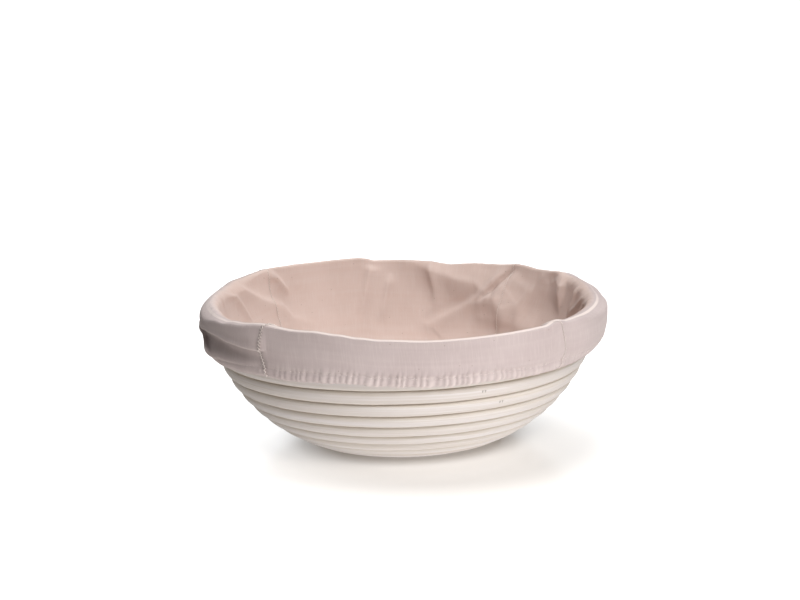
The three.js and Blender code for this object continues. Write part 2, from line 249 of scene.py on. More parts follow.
def cane_tree():
    """One length of cane: a grid, stations long and sides round, laid on the spiral."""
    lengths = (
        "Width", "Thickness", "First Turn", "Last Turn", "Splice Above", "Scarf Above",
        "Splice Below", "Scarf Below", "Wobble",
    )
    inputs = {"Stations": "Int", "Sides": "Int", **dict.fromkeys(lengths, "Float")}
    tree, given = new_tree("wound_cane", inputs)
    nodes = Wire(tree)
    counts = {"Vertices X": given["Stations"], "Vertices Y": given["Sides"]}
    grid = nodes.node("GeometryNodeMeshGrid", None, {"Size X": 1, "Size Y": 1, **counts})
    flat = nodes.node("GeometryNodeInputPosition")
    last = given["Stations"] - 1
    station = (flat.part("X") + 0.5) * last
    round_it = (flat.part("Y") + 0.5) * (2 * math.pi)
    cap = station.math("MINIMUM", last - station).math("MINIMUM", 1)
    share = ((station - 1) / (last - 2)).math("MAXIMUM", 0).math("MINIMUM", 1)
    turns = given["First Turn"] + share * (given["Last Turn"] - given["First Turn"])
    along = section_length - turns * pitch

    # Edges of the turn, shaved at the rim's end, round the eye and at the slanted joints
    half = given["Width"] / 2
    shaved = (1 - turns / RIM_TAPER).math("MAXIMUM", 0)
    cut_above = half * (turns - given["Splice Above"]) / given["Scarf Above"]
    cut_below = half * (turns - given["Splice Below"]) / given["Scarf Below"]
    dipped = (((turns - DIP_TURN) / DIP_SPREAD) ** 2 * -1).math("EXPONENT") * RIM_DIP
    high = (half - shaved * (given["Width"] - TIP_WIDTH) - dipped).math("MINIMUM", cut_above)
    low = (EYE_RADIUS - along).math("MAXIMUM", half * -1).math("MAXIMUM", cut_below)
    width_left = (high - low) / given["Width"]
    depth = TIP_THICKNESS / 2 + (given["Thickness"] - TIP_THICKNESS) / 2 * width_left

    # Rounded section, and the slight unevenness of hand-wound cane
    rounded_up, rounded_out = (
        wave.math("SIGN") * wave.math("ABSOLUTE") ** CANE_ROUNDING
        for wave in (round_it.math("COSINE"), round_it.math("SINE"))
    )
    swing = {"W": turns * WOBBLES_IN_A_TURN, "Scale": 1.0}
    uneven = nodes.node("ShaderNodeTexNoise", {"noise_dimensions": "1D"}, swing)
    sway = (uneven - 0.5) * given["Wobble"] * 2 * along.between(FLAT_LENGTH, FLAT_LENGTH * 1.5)
    up = (high + low) / 2 + (high - low) / 2 * cap * rounded_up
    out = depth * cap * rounded_out + sway

    # Wall section: flat base, foot bend, then one arc up to the rim
    s = along + up
    foot = ((s - FLAT_LENGTH) / FOOT_BEND).math("MAXIMUM", 0).math("MINIMUM", FOOT_ANGLE)
    wall = ((s - FLAT_LENGTH - foot_length) / wall_radius).math("MAXIMUM", 0)
    slope = foot + wall
    top = wall + FOOT_ANGLE
    r = s.math("MINIMUM", FLAT_LENGTH) + foot.math("SINE") * FOOT_BEND
    r = r + (top.math("SINE") - math.sin(FOOT_ANGLE)) * wall_radius + out * slope.math("SINE")
    rise = math.cos(FOOT_ANGLE) - top.math("COSINE")
    z = (1 - foot.math("COSINE")) * FOOT_BEND + rise * wall_radius
    z = z + half_thickness - out * slope.math("COSINE")
    angle = (RIM_END - turns) * (2 * math.pi)
    wound = {"X": r * angle.math("COSINE"), "Y": r * angle.math("SINE"), "Z": z}

    # Length run along the cane, for its fibres: the area swept by the section, over the pitch
    swept = s.math("MINIMUM", FLAT_LENGTH) ** 2 / 2 + foot * (FLAT_LENGTH * FOOT_BEND)
    swept = swept + wall * (wall_radius * (wall_start_r - wall_radius * math.sin(FOOT_ANGLE)))
    swept = swept + rise * wall_radius ** 2
    run = {"X": swept * (2 * math.pi / pitch), "Y": up, "Z": out}
    fibres = nodes.node("ShaderNodeCombineXYZ", None, run)
    marked = nodes.node(
        "GeometryNodeStoreNamedAttribute",
        {"data_type": "FLOAT_VECTOR", "domain": "POINT"},
        {"Geometry": grid, "Name": "cane_run", "Value": fibres},
    )
    spiral = {"Geometry": marked, "Position": nodes.node("ShaderNodeCombineXYZ", None, wound)}
    laid = nodes.node("GeometryNodeSetPosition", None, spiral)
    joined = nodes.node("GeometryNodeMergeByDistance", None, {"Geometry": laid, "Distance": WELD})
    faces = {0: joined, "Shade Smooth": True}
    smooth = nodes.node("GeometryNodeSetShadeSmooth", {"domain": "FACE"}, faces)
    bend = {0: nodes.node("GeometryNodeInputMeshEdgeAngle"), 1: CRISP_ANGLE}
    slight = nodes.node("FunctionNodeCompare", {"operation": "LESS_THAN"}, bend)
    edges = {0: smooth, "Shade Smooth": slight}
    crisp = nodes.node("GeometryNodeSetShadeSmooth", {"domain": "EDGE"}, edges)
    end_tree(crisp, cane)
    return tree


def section_at(s, v):
    """Radius and height of a point of the wall: s along it from the axis, v out from the middle."""
    foot = np.clip((s - FLAT_LENGTH) / FOOT_BEND, 0, FOOT_ANGLE)
    wall = np.maximum(s - FLAT_LENGTH - foot_length, 0) / wall_radius
    top = FOOT_ANGLE + wall
    r = np.minimum(s, FLAT_LENGTH) + FOOT_BEND * np.sin(foot)
    r = r + wall_radius * (np.sin(top) - math.sin(FOOT_ANGLE))
    z = half_thickness + FOOT_BEND * (1 - np.cos(foot))
    z = z + wall_radius * (math.cos(FOOT_ANGLE) - np.cos(top))
    return r + v * np.sin(foot + wall), z - v * np.cos(foot + wall)


def scarf_half(splice):
    """Half the slanted joint's length, in turns."""
    r, _ = section_at(section_length - pitch * splice, 0)
    return float(SCARF_LENGTH / (4 * math.pi * r))


def scarf_tip(splice, side):
    """Turn at which a length of cane ends, past its joint on one side."""
    reach = half_width - TIP_WIDTH - TURN_GAP / 2
    return splice + side * scarf_half(splice) * reach / half_width


cane = cane_material()
winding = cane_tree()
# A joint as its turn and half length, where an end has none
NO_JOINT_ABOVE, NO_JOINT_BELOW = (-1.0, 0.1), (99.0, 0.1)
cane_ends = {
    "rim_cane": (None, SPLICES[0]),
    "upper_wall_cane": (SPLICES[0], SPLICES[1]),
    "lower_wall_cane": (SPLICES[1], SPLICES[2]),
    "base_cane": (SPLICES[2], None),
}
for node, (above, below) in cane_ends.items():
    first = 0.0 if above is None else scarf_tip(above, -1)
    final = total_turns if below is None else scarf_tip(below, 1)
    splice_above, scarf_above = NO_JOINT_ABOVE if above is None else (above, scarf_half(above))
    splice_below, scarf_below = NO_JOINT_BELOW if below is None else (below, scarf_half(below))
    sizes = {
        "Stations": int((final - first) * STATIONS_IN_A_TURN) + 3,
        "Sides": SIDES_OF_CANE + 1,
        "Width": pitch - SEEN_GAP,
        "Thickness": CANE_THICKNESS,
        "First Turn": first,
        "Last Turn": final,
        "Splice Above": splice_above,
        "Scarf Above": scarf_above,
        "Splice Below": splice_below,
        "Scarf Below": scarf_below,
        "Wobble": CANE_WOBBLE,
    }
    length = grown("wound_" + node, winding, sizes)
    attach(length, "basket")
    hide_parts(node)


# Staples: wire driven down through each turn into the turn before it, where their legs are buried.
# Here and there the ends of both legs come out through the face of the cane, as a pair of dull
# marks.
END_LENGTH = 1.5 * MM
END_WIRE = 0.24 * MM
ENDS_APART = 1.8 * MM
ENDS_UP = 1.7 * MM
ENDS_SUNK = 0.05 * MM
FIRST_ENDS, ENDS_STEP, PAIRS_OF_ENDS = 3.871, 0.49, 4


def staple_material():
    """Drawn steel wire, tarnished in patches."""
    material, nodes, shader = new_material("staple_wire")
    place = nodes.node("ShaderNodeTexCoord", out="Object")
    drawn = place.stretched(900, 900, 60).noise(2)
    tarnish = place.stretched(260, 260, 260).noise(3)
    colour = tarnish.between(0.45, 0.7).blended((0.40, 0.38, 0.35, 1), (0.26, 0.23, 0.20, 1))
    bump = drawn.bumped(0.2, 0.05 * MM)
    plug(shader, Base_Color=colour, Metallic=1.0, Roughness=0.28 + drawn * 0.25, Normal=bump)
    return material


def line_mesh(name, points, ways, closed=False):
    """A bare line through points that remembers a direction at each of them."""
    mesh = bpy.data.meshes.new(name)
    count = len(points)
    edges = [(i, (i + 1) % count) for i in range(count if closed else count - 1)]
    mesh.from_pydata(points.tolist(), edges, [])
    kept = mesh.attributes.new("way", "FLOAT_VECTOR", "POINT")
    kept.data.foreach_set("vector", ways.astype(np.float32).ravel())
    return mesh


def remembered(nodes, name, kind="FLOAT_VECTOR"):
    """What the points of a line remember under a name."""
    return nodes.node("GeometryNodeInputNamedAttribute", {"data_type": kind}, {"Name": name})


def leg_end_tree():
    """A short end of wire at every point, along its direction."""
    tree, given = new_tree("staple_ends", {"Length": "Float", "Wire": "Float"})
    nodes = Wire(tree)
    sizes = {"Vertices": 8, "Radius": given["Wire"], "Depth": given["Length"]}
    rod = nodes.node("GeometryNodeMeshCylinder", None, sizes)
    along = {"Vector": remembered(nodes, "way")}
    lie = nodes.node("FunctionNodeAlignRotationToVector", {"axis": "Z"}, along)
    ends = {"Points": given["Geometry"], "Instance": rod, "Rotation": lie}
    end_tree(nodes.node("GeometryNodeInstanceOnPoints", None, ends), staple_wire)
    return tree


staple_wire = staple_material()
for name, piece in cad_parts.items():
    if name.startswith("staple_"):
        piece.data.materials.clear()
        piece.data.materials.append(staple_wire)

end_turns = FIRST_ENDS + ENDS_STEP * np.arange(PAIRS_OF_ENDS)
end_angle = 2 * math.pi * (RIM_END - end_turns)
end_along = section_length - pitch * end_turns + ENDS_UP
lower, middle, upper = (
    np.stack([r * np.cos(end_angle), r * np.sin(end_angle), z], -1)
    for r, z in (
        section_at(end_along + step, half_thickness - ENDS_SUNK)
        for step in (-END_LENGTH, 0, END_LENGTH)
    )
)
up_wall = (upper - lower) / np.linalg.norm(upper - lower, axis=-1, keepdims=True)
round_wall = np.stack([-np.sin(end_angle), np.cos(end_angle), 0 * end_angle], -1)
pairs = np.concatenate([middle + side * ENDS_APART / 2 * round_wall for side in (-1, 1)])
end_spots = line_mesh("end_spots", pairs, np.tile(up_wall, (2, 1)))
sizes = {"Length": END_LENGTH, "Wire": END_WIRE}
leg_ends = grown("staple_ends", leg_end_tree(), sizes, end_spots)
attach(leg_ends, "basket")


# Liner: four gores of unbleached cotton, cut with their threads along the middle and sewn edge to
# edge, from a point on the floor of the bowl, up the wall, over the rim and down the outside to a
# hem folded up round the elastic. It is laid in loose, so it creases where the bowl curves.
CLOTH = 0.4 * MM
LIES_OFF = 0.7 * MM
WARP_SPACING, WEFT_SPACING = 0.55 * MM, 0.6 * MM
# Azimuth of each seam, from the front towards the right: at the centre, halfway up the wall, on
# the crest, just over it, halfway down the outside, at the hem
SEAMS = {
    "front_right": (48, 48, 43.7, 49.4, 51.3, 49.8),
    "back_right": (140, 142.2, 138.6, 139.5, 140, 141),
    "back_left": (229, 228.3, 231.4, 230, 229, 229),
    "front_left": (318, 318, 321.5, 318.6, 317.6, 318.9),
}
# Seams on either side of each gore, and how finely it is meshed across
GORES = {
    "right": ("front_right", "back_right", 240),
    "back": ("back_right", "back_left", 240),
    "left": ("back_left", "front_left", 248),
    "front": ("front_left", "front_right", 304),
}
INSIDE_ROWS, CREST_ROWS, SKIRT_ROWS, FOLD_ROWS, LEAF_ROWS = 104, 28, 56, 8, 8
ALL_ROWS = INSIDE_ROWS + CREST_ROWS + SKIRT_ROWS + FOLD_ROWS + LEAF_ROWS
# Rows from which every eighth, fourth, second and then every column is kept
STRIDES = ((0, 8), (8, 4), (20, 2), (INSIDE_ROWS - 12, 1))
GORE_TIP = 0.2 * MM
CREST_REACH = 7 * MM
HEM_FOLD = 1.1 * MM
LEAF_HEIGHT = 7 * MM
CASING_HEIGHT = 6 * MM
CASING_PUFF = 1 * MM
CASING_FACE = 5.7 * MM
GATHER_SPACING, GATHER_DEPTH = 3.9 * MM, 1.5 * MM
PLEAT_SPACING, PLEAT_DEPTH = 2.5 * MM, 0.1 * MM
# Radius that turns degrees into lengths, over the rim and down the outside
CREST_RADIUS, SKIRT_RADIUS = 118 * MM, 120 * MM
# Height of the loose waves in the bowl, and how far a valley may sink towards the cane
SLACK, DEEPEST = 0.25 * MM, 0.08 * MM
rng = np.random.default_rng(11)

# Once round the basket, as azimuth and millimetres. Height of the crest where it stands clear of
# the cane, and of the hem
CREST_HEIGHTS = (
    (-178, 89.8), (-173, 91), (-165, 94), (-151, 93.8), (-138, 94.2), (-131, 94.6), (-115, 92.2),
    (-104, 90), (-75, 88), (-63, 88), (-52, 90.4), (-41, 92.4), (-31, 91.2), (-24.5, 91.4),
    (-18, 90.4), (-12, 89), (-6, 88), (8, 86.9), (20, 85.7), (34, 85.9), (42, 87.6), (47, 89.6),
    (53, 87.6), (64, 86.2), (90, 87), (105, 90.6), (111, 91), (118, 92.7), (124, 91.4),
    (129.4, 91), (137, 92.2), (147, 90.5), (156, 86.6), (165, 85.6), (171, 86.4), (177, 89.4),
)
HEM_HEIGHTS = (
    (-178, 59.5), (-140, 58.4), (-100, 57.4), (-66, 57.6), (-55, 58.8), (-43, 60), (-34, 59.6),
    (-25, 60.2), (-15, 60.9), (-8, 59.8), (0, 59.3), (8, 58.6), (16, 58.6), (24, 59.2),
    (40, 58.2), (54, 58.6), (90, 60), (150, 60),
)
# Distance of the cloth outside from the middle of the cane, halfway down and at the hem
BELLY = (
    (-175, 6.4), (-150, 6.4), (-120, 7.2), (-100, 7.6), (-90, 7.9), (-80, 8.6), (-70, 9.2),
    (-60, 9), (-50, 7.8), (-42, 6.4), (-30, 5.5), (0, 5.1), (30, 5.3), (48, 6), (65, 8.6),
    (90, 10.3), (115, 9.2), (150, 7),
)
HEM_OUT = (
    (-175, 6.3), (-120, 6.4), (-90, 6), (-60, 6.6), (-42, 6.3), (-20, 5.8), (0, 5.7), (30, 5.8),
    (60, 6.2), (90, 6.5), (130, 6.4),
)
# Distance out where the turn over the rim ends
CREST_OUT = (
    (-175, 5), (-120, 5.4), (-90, 6.2), (-72, 7), (-58, 7.8), (-50, 7), (-42, 5.8), (-35, 4.8),
    (0, 4.6), (35, 4.7), (50, 5.6), (65, 7.4), (90, 9.4), (110, 8.6), (135, 6), (160, 5),
)
# Roll of slack on the left: how much of it there is, the height of its lip, and how far the cloth
# goes back in under the lip
ROLL = ((-112, 0), (-98, 0.5), (-85, 1), (-46, 1), (-42, 0.7), (-39.4, 0), (0, 0), (120, 0))
LIP_HEIGHTS = (
    (-112, 74), (-90, 75), (-79, 76), (-70, 77.6), (-62, 77.8), (-55, 76.6), (-47, 75.8),
    (-40, 75.2), (0, 74), (120, 74),
)
TUCK_IN = (
    (-114, 0), (-96, 0.2), (-88, 0.8), (-80, 3.2), (-72, 4.7), (-62, 4.5), (-52, 3.3), (-44, 2.2),
    (-39.8, 0.2), (0, 0), (120, 0),
)
ROLL_OUT, LIP_OUT = 8.1 * MM, 8 * MM
LIP_ROUNDING, LIP_EDGE, LIP_CURL = 1.8 * MM, 0.8 * MM, 1.3 * MM
# Lower edge of the facet where slack sags in over the rim at the back right, and how far it sags
SAG_EDGE = (
    (-170, 90), (177, 89.8), (171.1, 87.1), (165.2, 82), (158.7, 79), (153.4, 78), (149.5, 73),
    (145, 67), (139.5, 61), (133.9, 66), (129, 78), (125.1, 87), (118, 91.5), (90, 86),
)
SAG = (
    (-178, 0), (176, 0.6), (168, 3.6), (159, 6), (152, 5), (147.5, 4.8), (140, 5.6), (134, 4.8),
    (128, 1.8), (121, 0), (0, 0),
)

# Turn over the rim, as distance out from the middle of the cane and height over the crest: creased
# along the outer edge at the front, along the inner edge at the back, rolled where it is slack at
# both sides
CREASED_OUT = (
    (-4.45, -7), (-4.4, -5.4), (-3.9, -3.8), (-2.6, -2.4), (-0.9, -1.3), (0.9, -0.5), (2.6, 0),
    (3.6, -0.28), (4.4, -0.62), (4.6, -1.3), (4.6, -7),
)
CREASED_IN = (
    (-4.45, -7), (-4.43, -1.5), (-4.15, -0.45), (-3.5, 0), (-2.6, -0.15), (-1.1, -0.7),
    (0.9, -1.5), (2.7, -2.4), (4, -3.8), (4.5, -5.4), (4.6, -7),
)
ROLLED_OVER = (
    (-4.45, -7), (-4.4, -5), (-4, -3.2), (-3.1, -1.6), (-1.8, -0.5), (-0.2, 0), (1.6, -0.2),
    (3, -1.2), (4, -2.9), (4.5, -4.9), (4.6, -7),
)
ROLLED = ((-180, 0), (-132, 0), (-112, 1), (-74, 1), (-60, 0), (56, 0), (70, 1), (108, 1), (122, 0))


def smoothstep(low, high, x):
    t = np.clip((x - low) / (high - low), 0, 1)
    return t * t * (3 - 2 * t)


def bell(x, width):
    """1 at zero, falling away on both sides over a width."""
    return np.exp(-((x / width) ** 2))


def around(azimuth, middle):
    """Degrees from a middle azimuth, -180 to 180."""
    return (azimuth - middle + 180) % 360 - 180


def keyed(azimuth, keys):
    """A length that runs smoothly through keys of azimuth and millimetres."""
    keys = sorted(keys)
    places = np.array([key[0] for key in keys])
    places = np.concatenate([places - 360, places, places + 360])
    values = np.tile([key[1] for key in keys], 3)
    turned = around(azimuth, 0)
    i = np.clip(np.searchsorted(places, turned) - 1, 0, len(places) - 2)
    t = (turned - places[i]) / (places[i + 1] - places[i])
    return (values[i] + (values[i + 1] - values[i]) * t * t * (3 - 2 * t)) * MM


def swell(azimuth, middle, spread):
    """A soft rise of 1 at an azimuth."""
    return bell(around(azimuth, middle), spread)


def rim_top(azimuth):
    """Top of the rim cane, as a distance along the wall's section."""
    turns = ((RIM_END * 360 - 270 - azimuth) % 360) / 360
    shaved = np.maximum(0, 1 - turns / RIM_TAPER)
    lost = shaved * (CANE_WIDTH - TIP_WIDTH) + RIM_DIP * bell(turns - DIP_TURN, DIP_SPREAD)
    return section_length - pitch * turns + half_width - lost


wall_samples = np.linspace(0, section_length + 20 * MM, 600)


def along_at(height, v):
    """Distance along the wall's section that is at a height, v out from the middle of the cane."""
    return np.interp(height, section_at(wall_samples, v)[1], wall_samples)


def crest_along(azimuth):
    """Where the cloth turns over: on the cane, bridging the step of its end, or standing clear."""
    near = (-6, -4, -2, 0, 2, 4, 6)
    clear = 2 * MM - 0.7 * keyed(azimuth, ROLLED)
    on_cane = np.max([rim_top(azimuth + a) for a in near], axis=0) + clear
    return np.maximum(on_cane, along_at(keyed(azimuth, CREST_HEIGHTS), 0))


def through(points, count):
    """Points evenly along the smooth line through a few."""
    points = np.array(points, dtype=float)
    spot = np.linspace(0, len(points) - 1, count, endpoint=False)
    i = spot.astype(int)
    t = (spot - i)[:, None]
    a, b, c, d = (points[np.clip(i + step, 0, len(points) - 1)] for step in (-1, 0, 1, 2))
    return b + 0.5 * t * (c - a + t * (2 * a - 5 * b + 4 * c - d + t * (3 * (b - c) + d - a)))


# Creases in the inside of the bowl: points as azimuth and height, rise, and width of the left and
# right sides of the ridge as seen from the front. The one that sinks is the valley by a seam
CREASES = (
    (
        ((149, 92), (150.5, 84), (152.8, 76), (160, 68), (166, 62), (173, 56), (177, 49)),
        1.6, 14, 5,
    ),
    (
        (
            (139, 91.6), (144.6, 83), (147.4, 75), (149.6, 68.3), (156.8, 60), (162.8, 54.4),
            (170, 48), (172.6, 42),
        ),
        4.4, 4.5, 12,
    ),
    (
        ((154.5, 57.8), (149.1, 55.1), (142.6, 54.3), (136, 53.4), (128, 53.4), (122, 55)),
        2.4, 7.0, 14,
    ),
    (((138.9, 90.3), (140.9, 83), (143, 72.1), (143.2, 64.8), (142, 52.8)), 2.4, 5, 15),
    (
        (
            (137.6, 95), (140.2, 86), (142.2, 82), (144.4, 77), (146.4, 72.5), (149.5, 67.5),
            (154, 63),
        ),
        -5.4, 3, 2.2,
    ),
    (
        ((-94, 94), (-96.5, 91.8), (-108.5, 83.8), (-112.9, 74.4), (-116, 65.4), (-119, 56)),
        2.0, 3.0, 2.0,
    ),
    (
        (
            (-108, 91), (-113.1, 88.2), (-125.3, 75.3), (-133.7, 69.2), (-137.1, 60.5),
            (-149.6, 51.7),
        ),
        2.6, 10, 2.5,
    ),
    (((-127, 95), (-129.2, 93.5), (-132.9, 88), (-136.1, 80.8), (-139, 74)), 3.2, 3.6, 2),
    (((-169.5, 90), (-168.7, 83.7), (-166, 65.7), (-163.2, 40.9)), 2.6, 3.4, 6.0),
    (((-176.2, 84), (-173.6, 65), (-171.9, 50)), 2.0, 2.8, 5.0),
    (((171.8, 90), (170.6, 85.6), (169.6, 78.1), (168.6, 71.3), (167.8, 57)), 1.9, 2.6, 5.0),
    (((115.5, 95), (114.3, 92.9), (113.4, 85), (114, 76.5), (114, 64)), 4.4, 9, 2.4),
    (((101, 95), (101.5, 92.5), (103.5, 81.9), (106, 71.1), (108, 62)), 2.8, 2.0, 2.8),
    (((90, 91), (94.3, 82.7), (102.5, 73.3), (107, 66)), 2.4, 1.8, 2.4),
    (((84, 89), (91.6, 77.6), (98, 68)), 2.0, 1.6, 2.2),
    (((-62, 84), (-70, 70), (-80, 52), (-84, 36)), 1.5, 3.0, 8.0),
    (((30, 76), (22, 60), (10, 44), (2, 28)), 1.6, 3.0, 8.0),
    (((-20, 78), (-14, 62), (-16, 42)), 1.4, 3.0, 7.0),
    (((70, 78), (66, 60), (72, 40), (80, 24)), 1.6, 3.0, 8.0),
)
# Ridge of the flap that hangs under the roll on the left, outside
FLAP_RISE = 2.8
FLAP_LINE = ((-98, 78), (-90, 75), (-83, 72.4), (-75.5, 69.2), (-68, 66.3), (-63.5, 63))
FLAP = (FLAP_LINE, FLAP_RISE, 3.0, 1.2)


def crease(azimuth, s, side, points, rise, left, right):
    """A ridge along a line on one side of the wall, steep or easy to its left and right."""
    line = [(a, along_at(h * MM, side)) for a, h in points]
    nearest = np.full(s.shape, 1.0)
    to_left = np.zeros(s.shape, dtype=bool)
    fade = np.zeros(s.shape)
    for i, ((a0, s0), (a1, s1)) in enumerate(zip(line, line[1:])):
        r0, _ = section_at((s0 + s1) / 2, side)
        x, y = np.radians(around(azimuth, a0)) * r0, s - s0
        dx, dy = math.radians(around(a1, a0)) * r0, s1 - s0
        t = np.clip((x * dx + y * dy) / (dx * dx + dy * dy), 0, 1)
        distance = np.hypot(x - t * dx, y - t * dy)
        closer = distance < nearest
        nearest = np.where(closer, distance, nearest)
        to_left = np.where(closer, (x * dy - y * dx) * side > 0, to_left)
        place = (i + t) / (len(line) - 1)
        fade = np.where(closer, smoothstep(0, 0.22, place) * smoothstep(1, 0.65, place), fade)
    width = np.where(to_left, left, right) * MM
    return rise * MM * fade / (1 + (nearest / width) ** 2) ** 1.5


broad_waves = [
    (rng.uniform(0, 2 * math.pi), rng.uniform(34, 70) * MM, rng.uniform(0, 6.3))
    for _ in range(8)
]


def slackness(x, y):
    """Broad waves of cloth that lies a little loose, never deeper than the cane."""
    total = 0
    for way, length, phase in broad_waves:
        run = x * math.cos(way) + y * math.sin(way)
        total = total + np.sin(run * 2 * math.pi / length + phase)
    return np.maximum(total / len(broad_waves) ** 0.5, -0.3)


# Puckers across the crest: azimuth, slant, reach inside and outside, rise and width in millimetres
right_puckers = [
    (a, -0.35, rng.uniform(8, 16), rng.uniform(2, 5), rng.uniform(0.4, 0.8), rng.uniform(1.4, 2.4))
    for a in (78, 83, 91, 98, 106, 112)
]
left_puckers = [
    (a, 0.3, rng.uniform(8, 22), rng.uniform(2, 6), rng.uniform(0.4, 0.8), rng.uniform(1.6, 2.8))
    for a in (-72, -77, -81, -86, -90, -95, -101, -107)
]
faint_puckers = [
    (
        rng.uniform(70, 290), rng.uniform(-0.2, 0.2), rng.uniform(5, 12), rng.uniform(2, 8),
        rng.uniform(0.08, 0.2), rng.uniform(1.2, 2.4),
    )
    for _ in range(24)
]
puckers = right_puckers + left_puckers + faint_puckers
# Folds that hang outside: azimuth, reach above the hem, rise and width in millimetres
hanging = [
    (rng.uniform(-180, 180), rng.uniform(8, 22), rng.uniform(0.15, 0.6), rng.uniform(2.5, 7))
    for _ in range(40)
]


def drawn_in(azimuth):
    """How hard the elastic gathers the hem: strongest at the front, uneven all round."""
    front = 0.95 * swell(azimuth, 6, 35)
    turned = np.radians(azimuth)
    rest = 0.32 + 0.25 * np.sin(turned * 3 + 1) + 0.2 * np.sin(turned * 7)
    behind = smoothstep(70, 120, np.abs(around(azimuth, 0)))
    return np.clip(front + np.maximum(rest, 0.12) * (0.4 + 0.6 * behind), 0, 1.1)


def liner_grid(azimuth, from_seam):
    """Points of a stretch of liner, row by row from the centre of the bowl to the hem's inner leaf,
    with the length of cloth run to each row, its radius and how much painted highlight it takes."""
    top = crest_along(azimuth)
    inside, outside = -half_thickness - LIES_OFF, half_thickness + LIES_OFF
    s, v = np.zeros(azimuth.shape), np.zeros(azimuth.shape)

    # Inside, from the centre to just under the rim
    bowl = slice(0, INSIDE_ROWS)
    part = np.linspace(0, 1, INSIDE_ROWS, endpoint=False)[:, None]
    s[bowl] = GORE_TIP + (top[bowl] - CREST_REACH - GORE_TIP) * part
    v[bowl] = inside

    # Over the rim, wider on the outside where the cloth hangs full
    crest = slice(bowl.stop, bowl.stop + CREST_ROWS)
    at_back = np.abs(around(azimuth[crest], 0)) > 90
    rolled = keyed(azimuth[crest], ROLLED) / MM
    front, back, side = (
        MM * through(turn, CREST_ROWS).T[:, :, None]
        for turn in (CREASED_OUT, CREASED_IN, ROLLED_OVER)
    )
    out, over = np.where(at_back, back, front) * (1 - rolled) + side * rolled
    crest_out, turn_end = keyed(azimuth, CREST_OUT), CREASED_OUT[-1][0] * MM
    rounding = (1 + 3 * rolled) * MM
    fuller = (crest_out[crest] / turn_end - 1) * smoothstep(0, 1, -over / rounding) * (out > 0)
    s[crest] = top[crest] + over
    v[crest] = out * (1 + fuller)

    # Down the outside to the hem
    skirt = slice(crest.stop, crest.stop + SKIRT_ROWS)
    down = np.linspace(0, 1, SKIRT_ROWS, endpoint=False)[:, None]
    belly, hem_out = keyed(azimuth, BELLY), keyed(azimuth, HEM_OUT)
    hem = along_at(keyed(azimuth, HEM_HEIGHTS), CASING_FACE)
    start = top - CREST_REACH
    s[skirt] = start[skirt] + (hem[skirt] + HEM_FOLD - start[skirt]) * down
    full = belly[skirt] + (hem_out[skirt] - belly[skirt]) * smoothstep(0.66, 1, down)
    v[skirt] = crest_out[skirt] + (full - crest_out[skirt]) * smoothstep(-0.1, 0.4, down)

    # Roll of slack on the left, bellied out from the crest and tucked in under its lip
    roll, tuck = keyed(azimuth, ROLL) / MM, keyed(azimuth, TUCK_IN)
    lip = top - along_at(keyed(azimuth, LIP_HEIGHTS) + LIP_ROUNDING, LIP_OUT)
    below = top - s
    belled = roll * np.maximum(ROLL_OUT - v, 0) * smoothstep(0.5 * MM, 0.72 * lip, below)
    belled = belled * smoothstep(lip + 9 * MM, lip, below) * (v > 0)
    under = smoothstep(lip - 0.2 * MM, lip + 1.2 * MM, below)
    under = under * smoothstep(lip + 13 * MM, lip + 5 * MM, below)
    edge_of_lip = roll * LIP_EDGE * bell(below - lip + 0.9 * MM, 0.6 * MM)
    v += np.where(v > 2 * MM, belled + edge_of_lip - tuck * under, 0)
    v[skirt] = np.maximum(v[skirt], outside)
    curl = roll * LIP_CURL * bell(below - lip + 0.3 * MM, 1.2 * MM)
    s[skirt] -= (curl * np.where(below < lip + 0.4 * MM, 1, -0.5))[skirt]

    # Casing, gathered by the elastic into puffs between the stitched line and the fold, with fine
    # pleats above it
    turned, drawn = np.radians(azimuth), drawn_in(azimuth)
    over_hem = (s - hem) / MM
    spot = turned * CREST_RADIUS / GATHER_SPACING
    spot = spot + 0.22 * np.sin(turned * 23) + 0.12 * np.sin(turned * 61 + 1)
    spot = spot - 0.055 * np.clip(over_hem, 0, 12) * swell(azimuth, -14, 26)
    puff = np.abs(np.cos(math.pi * spot)) ** 0.8 * (0.8 + 0.25 * np.sin(spot * 1.7)) - 0.3
    rounded = np.sin(math.pi * np.clip(over_hem * MM / CASING_HEIGHT, 0, 1))
    above = np.maximum(over_hem - CASING_HEIGHT / MM, 0)
    gathers = puff * drawn * GATHER_DEPTH
    puffed = gathers * (0.75 + 0.35 * rounded) * bell(above, 2.6) + CASING_PUFF * rounded
    pleats = np.sin(turned * CREST_RADIUS / PLEAT_SPACING + 1.3 * np.sin(turned * 31))
    pleats = PLEAT_DEPTH * pleats * np.exp(-above / 6) * (above > 0) * swell(azimuth, -6, 32)
    v[skirt] += (puffed + pleats)[skirt]
    gathers = gathers * 0.75

    # Hem fold and the leaf turned up behind it
    fold = slice(skirt.stop, skirt.stop + FOLD_ROWS)
    turn = np.linspace(0, math.pi, FOLD_ROWS, endpoint=False)[:, None]
    s[fold] = hem[fold] + HEM_FOLD - (HEM_FOLD + 0.5 * gathers[fold]) * np.sin(turn)
    v[fold] = hem_out[fold] - HEM_FOLD + HEM_FOLD * np.cos(turn)
    v[fold] += gathers[fold] * (0.65 + 0.35 * np.cos(turn))
    leaf = slice(fold.stop, fold.stop + LEAF_ROWS)
    s[leaf] = hem[leaf] + HEM_FOLD + LEAF_HEIGHT * np.linspace(0, 1, LEAF_ROWS)[:, None]
    v[leaf] = hem_out[leaf] - 2 * HEM_FOLD + gathers[leaf] * 0.3

